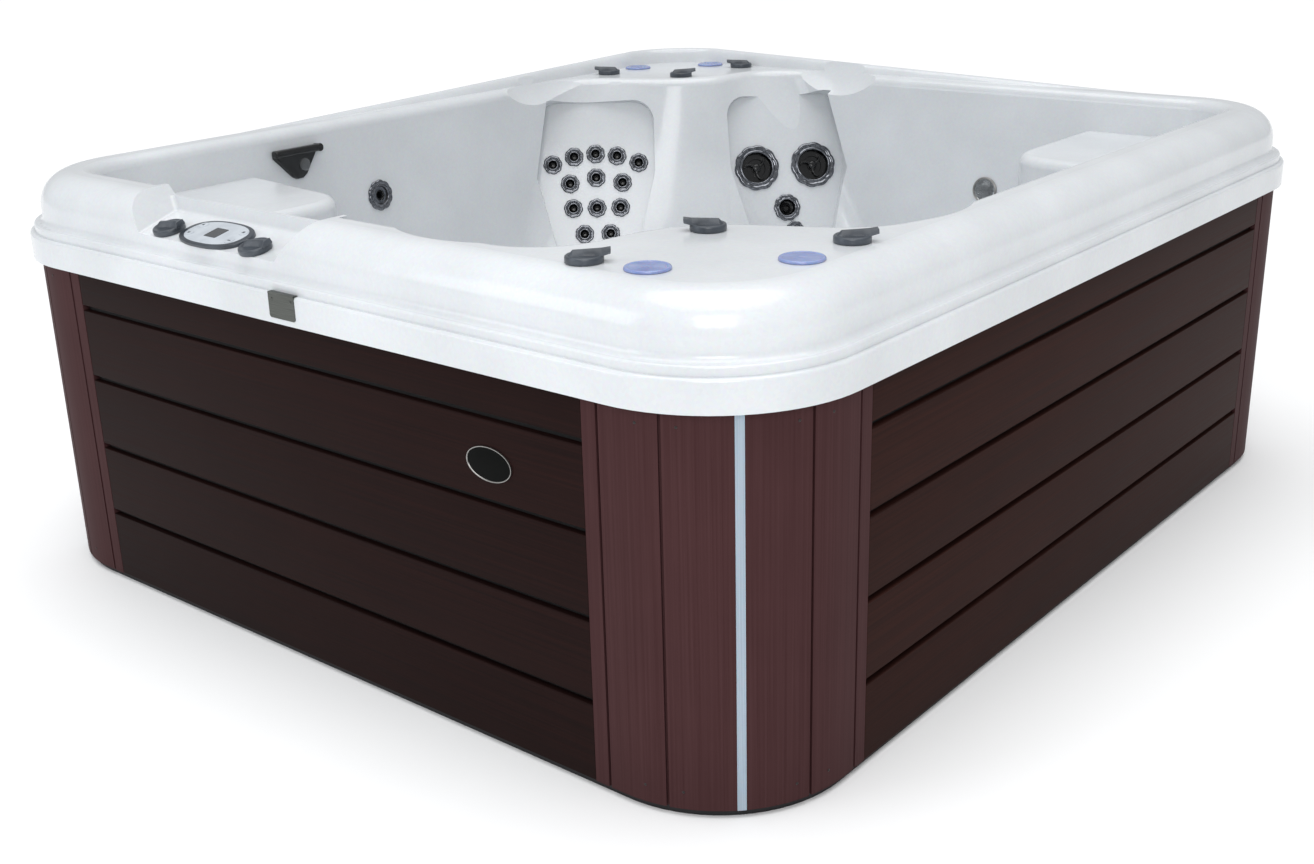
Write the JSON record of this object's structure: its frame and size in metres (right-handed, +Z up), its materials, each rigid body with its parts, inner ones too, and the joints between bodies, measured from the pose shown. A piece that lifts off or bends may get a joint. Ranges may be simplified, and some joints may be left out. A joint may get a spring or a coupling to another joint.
{
  "type": "hot tub",
  "caption": "Free-standing hot tub: moulded shell with seats, jets, knobs and keypad, in a boarded cabinet with lit corners.",
  "frame": {"origin": "middle of the footprint, on the floor", "axes": "+Z up, -Y towards the control side, +X to its right"},
  "size_m": [1.96, 2.2543, 0.868],
  "materials": {
    "acrylic": "gloss",
    "cabinet_board": "satin",
    "pan_plastic": "matte",
    "timber": "matte",
    "diffuser": "matte",
    "brushed_steel": "brushed",
    "badge_black": "gloss",
    "control_grey": "satin",
    "key_grey": "satin",
    "display_glass": "gloss",
    "light_blue_lens": "gloss",
    "jet_chrome": "polished",
    "rotor_black": "gloss",
    "pipe_white": "satin",
    "spout_black": "gloss",
    "clear_lens": "gloss",
    "filter_paper": "matte",
    "motor_metal": "satin",
    "pump_black": "satin",
    "impeller_grey": "satin",
    "box_grey": "satin"
  },
  "bodies": {
    "tub": {"acrylic_shell": "acrylic", "base_pan": "pan_plastic", "cabinet_frame": "timber", "back_panel": "cabinet_board", "left_panel": "cabinet_board", "right_panel": "cabinet_board", "corner_panels": "cabinet_board", "corner_light_strips": "diffuser", "cover_clip": "brushed_steel", "keypad_housing": "control_grey", "display_window": "display_glass", "deck_light_lenses": "light_blue_lens", "jet_and_valve_bodies": "pipe_white", "near_seat_jets": "jet_chrome", "waterfall_spout": "spout_black", "waterfall_lens": "clear_lens", "well_light": "clear_lens", "suction_covers": "pipe_white", "filter_housing": "pump_black", "filter_cartridge": "filter_paper", "pump_body": "pump_black", "pump_motor": "motor_metal", "spa_pack": "box_grey", "plumbing": "pipe_white"},
    "service_panel": {"service_panel": "cabinet_board", "badge_plate": "badge_black"},
    "key_1": {"key_1": "key_grey"},
    "key_2": {"key_2": "key_grey"},
    "key_3": {"key_3": "key_grey"},
    "key_4": {"key_4": "key_grey"},
    "knob_1": {"knob_1": "control_grey"},
    "knob_2": {"knob_2": "control_grey"},
    "knob_3": {"knob_3": "control_grey"},
    "knob_4": {"knob_4": "control_grey"},
    "knob_5": {"knob_5": "control_grey"},
    "knob_6": {"knob_6": "control_grey"},
    "knob_7": {"knob_7": "control_grey"},
    "knob_8": {"knob_8": "control_grey"},
    "lounge_jet_1": {"lounge_jet_1": "jet_chrome"},
    "lounge_jet_2": {"lounge_jet_2": "jet_chrome"},
    "lounge_jet_3": {"lounge_jet_3": "jet_chrome"},
    "lounge_jet_4": {"lounge_jet_4": "jet_chrome"},
    "lounge_jet_5": {"lounge_jet_5": "jet_chrome"},
    "lounge_jet_6": {"lounge_jet_6": "jet_chrome"},
    "lounge_jet_7": {"lounge_jet_7": "jet_chrome"},
    "lounge_jet_8": {"lounge_jet_8": "jet_chrome"},
    "lounge_jet_9": {"lounge_jet_9": "jet_chrome"},
    "lounge_jet_10": {"lounge_jet_10": "jet_chrome"},
    "lounge_jet_11": {"lounge_jet_11": "jet_chrome"},
    "lounge_jet_12": {"lounge_jet_12": "jet_chrome"},
    "lounge_jet_13": {"lounge_jet_13": "jet_chrome"},
    "massage_ring_left": {"massage_ring_left": "jet_chrome"},
    "massage_rotor_left": {"massage_rotor_left": "rotor_black"},
    "massage_ring_right": {"massage_ring_right": "jet_chrome"},
    "massage_rotor_right": {"massage_rotor_right": "rotor_black"},
    "massage_jet_centre": {"massage_jet_centre": "jet_chrome"},
    "massage_jet_low": {"massage_jet_low": "jet_chrome"},
    "wall_jet": {"wall_jet": "jet_chrome"},
    "pump_impeller": {"pump_impeller": "impeller_grey"},
    "skimmer_weir": {"skimmer_weir": "pipe_white"}
  },
  "joints": [
    {"name": "service_panel_pull", "type": "slide", "parent": "tub", "child": "service_panel", "axis": [0, -1, 0], "range_m": [0, 0.3]},
    {"name": "key_1_press", "type": "slide", "parent": "tub", "child": "key_1", "axis": [0, 0.2334, -0.9724], "range_m": [0, 0.0008], "stiffness_N_per_m": 600, "springref_m": -0.0004},
    {"name": "key_2_press", "type": "slide", "parent": "tub", "child": "key_2", "axis": [0, 0.2334, -0.9724], "range_m": [0, 0.0008], "stiffness_N_per_m": 600, "springref_m": -0.0004},
    {"name": "key_3_press", "type": "slide", "parent": "tub", "child": "key_3", "axis": [0, 0.2334, -0.9724], "range_m": [0, 0.0008], "stiffness_N_per_m": 600, "springref_m": -0.0004},
    {"name": "key_4_press", "type": "slide", "parent": "tub", "child": "key_4", "axis": [0, 0.2334, -0.9724], "range_m": [0, 0.0008], "stiffness_N_per_m": 600, "springref_m": -0.0004},
    {"name": "knob_1_turn", "type": "hinge", "parent": "tub", "child": "knob_1", "pos_m": [0.585, -1.009, 0.83], "axis": [0, 0, 1], "range_deg": [-90, 90]},
    {"name": "knob_2_turn", "type": "hinge", "parent": "tub", "child": "knob_2", "pos_m": [0.61, -0.737, 0.83], "axis": [0, 0, 1], "range_deg": [-90, 90]},
    {"name": "knob_3_turn", "type": "hinge", "parent": "tub", "child": "knob_3", "pos_m": [0.847, -0.681, 0.83], "axis": [0, 0, 1], "range_deg": [-90, 90]},
    {"name": "knob_4_turn", "type": "hinge", "parent": "tub", "child": "knob_4", "pos_m": [-0.585, 0.982, 0.83], "axis": [0, 0, 1], "range_deg": [-90, 90]},
    {"name": "knob_5_turn", "type": "hinge", "parent": "tub", "child": "knob_5", "pos_m": [-0.61, 0.737, 0.83], "axis": [0, 0, 1], "range_deg": [-90, 90]},
    {"name": "knob_6_turn", "type": "hinge", "parent": "tub", "child": "knob_6", "pos_m": [-0.822, 0.681, 0.83], "axis": [0, 0, 1], "range_deg": [-90, 90]},
    {"name": "knob_7_turn", "type": "hinge", "parent": "tub", "child": "knob_7", "pos_m": [-0.387, -1.07, 0.76884], "axis": [0, -0.2334, 0.9724], "range_deg": [-90, 90]},
    {"name": "knob_8_turn", "type": "hinge", "parent": "tub", "child": "knob_8", "pos_m": [-0.126, -1.075, 0.76764], "axis": [0, -0.2334, 0.9724], "range_deg": [-90, 90]},
    {"name": "lounge_jet_1_turn", "type": "hinge", "parent": "tub", "child": "lounge_jet_1", "pos_m": [-0.831, 0.44272, 0.6103], "axis": [0.6068, -0.7206, 0.3355], "range_deg": [-60, 60]},
    {"name": "lounge_jet_2_turn", "type": "hinge", "parent": "tub", "child": "lounge_jet_2", "pos_m": [-0.79025, 0.48588, 0.6293], "axis": [0.6068, -0.7206, 0.3355], "range_deg": [-60, 60]},
    {"name": "lounge_jet_3_turn", "type": "hinge", "parent": "tub", "child": "lounge_jet_3", "pos_m": [-0.7466, 0.52559, 0.63563], "axis": [0.6068, -0.7206, 0.3355], "range_deg": [-60, 60]},
    {"name": "lounge_jet_4_turn", "type": "hinge", "parent": "tub", "child": "lounge_jet_4", "pos_m": [-0.70004, 0.56185, 0.6293], "axis": [0.6068, -0.7206, 0.3355], "range_deg": [-60, 60]},
    {"name": "lounge_jet_5_turn", "type": "hinge", "parent": "tub", "child": "lounge_jet_5", "pos_m": [-0.65058, 0.59466, 0.6103], "axis": [0.6068, -0.7206, 0.3355], "range_deg": [-60, 60]},
    {"name": "lounge_jet_6_turn", "type": "hinge", "parent": "tub", "child": "lounge_jet_6", "pos_m": [-0.78433, 0.45872, 0.56024], "axis": [0.6068, -0.7206, 0.3355], "range_deg": [-60, 60]},
    {"name": "lounge_jet_7_turn", "type": "hinge", "parent": "tub", "child": "lounge_jet_7", "pos_m": [-0.73253, 0.50888, 0.57428], "axis": [0.6068, -0.7206, 0.3355], "range_deg": [-60, 60]},
    {"name": "lounge_jet_8_turn", "type": "hinge", "parent": "tub", "child": "lounge_jet_8", "pos_m": [-0.67429, 0.55139, 0.56024], "axis": [0.6068, -0.7206, 0.3355], "range_deg": [-60, 60]},
    {"name": "lounge_jet_9_turn", "type": "hinge", "parent": "tub", "child": "lounge_jet_9", "pos_m": [-0.76417, 0.44586, 0.49614], "axis": [0.6068, -0.7206, 0.3355], "range_deg": [-60, 60]},
    {"name": "lounge_jet_10_turn", "type": "hinge", "parent": "tub", "child": "lounge_jet_10", "pos_m": [-0.71461, 0.4876, 0.49614], "axis": [0.6068, -0.7206, 0.3355], "range_deg": [-60, 60]},
    {"name": "lounge_jet_11_turn", "type": "hinge", "parent": "tub", "child": "lounge_jet_11", "pos_m": [-0.66504, 0.52934, 0.49614], "axis": [0.6068, -0.7206, 0.3355], "range_deg": [-60, 60]},
    {"name": "lounge_jet_12_turn", "type": "hinge", "parent": "tub", "child": "lounge_jet_12", "pos_m": [-0.72654, 0.44643, 0.42929], "axis": [0.6068, -0.7206, 0.3355], "range_deg": [-60, 60]},
    {"name": "lounge_jet_13_turn", "type": "hinge", "parent": "tub", "child": "lounge_jet_13", "pos_m": [-0.67201, 0.49235, 0.42929], "axis": [0.6068, -0.7206, 0.3355], "range_deg": [-60, 60]},
    {"name": "massage_ring_left_turn", "type": "hinge", "parent": "tub", "child": "massage_ring_left", "pos_m": [-0.41878, 0.82673, 0.58176], "axis": [0.6941, -0.6271, 0.3535], "range_deg": [-60, 60]},
    {"name": "massage_rotor_left_spin", "type": "hinge", "parent": "massage_ring_left", "child": "massage_rotor_left", "pos_m": [-0.41878, 0.82673, 0.58176], "axis": [0.6941, -0.6271, 0.3535], "continuous": true},
    {"name": "massage_ring_right_turn", "type": "hinge", "parent": "tub", "child": "massage_ring_right", "pos_m": [-0.31238, 0.94499, 0.58267], "axis": [0.6941, -0.6271, 0.3535], "range_deg": [-60, 60]},
    {"name": "massage_rotor_right_spin", "type": "hinge", "parent": "massage_ring_right", "child": "massage_rotor_right", "pos_m": [-0.31238, 0.94499, 0.58267], "axis": [0.6941, -0.6271, 0.3535], "continuous": true},
    {"name": "massage_jet_centre_turn", "type": "hinge", "parent": "tub", "child": "massage_jet_centre", "pos_m": [-0.3373, 0.8566, 0.47477], "axis": [0.6941, -0.6271, 0.3535], "range_deg": [-60, 60]},
    {"name": "massage_jet_low_turn", "type": "hinge", "parent": "tub", "child": "massage_jet_low", "pos_m": [-0.30831, 0.85486, 0.41476], "axis": [0.6941, -0.6271, 0.3535], "range_deg": [-60, 60]},
    {"name": "wall_jet_turn", "type": "hinge", "parent": "tub", "child": "wall_jet", "pos_m": [-0.82026, -0.19, 0.637], "axis": [0.9948, 0, 0.1017], "range_deg": [-60, 60]},
    {"name": "pump_impeller_spin", "type": "hinge", "parent": "tub", "child": "pump_impeller", "pos_m": [0.33, -0.8, 0.126], "axis": [1, 0, 0], "continuous": true},
    {"name": "skimmer_weir_flap", "type": "hinge", "parent": "tub", "child": "skimmer_weir", "pos_m": [-0.478, -0.8, 0.5965], "axis": [0, -1, 0], "range_deg": [0, 75]}
  ]
}
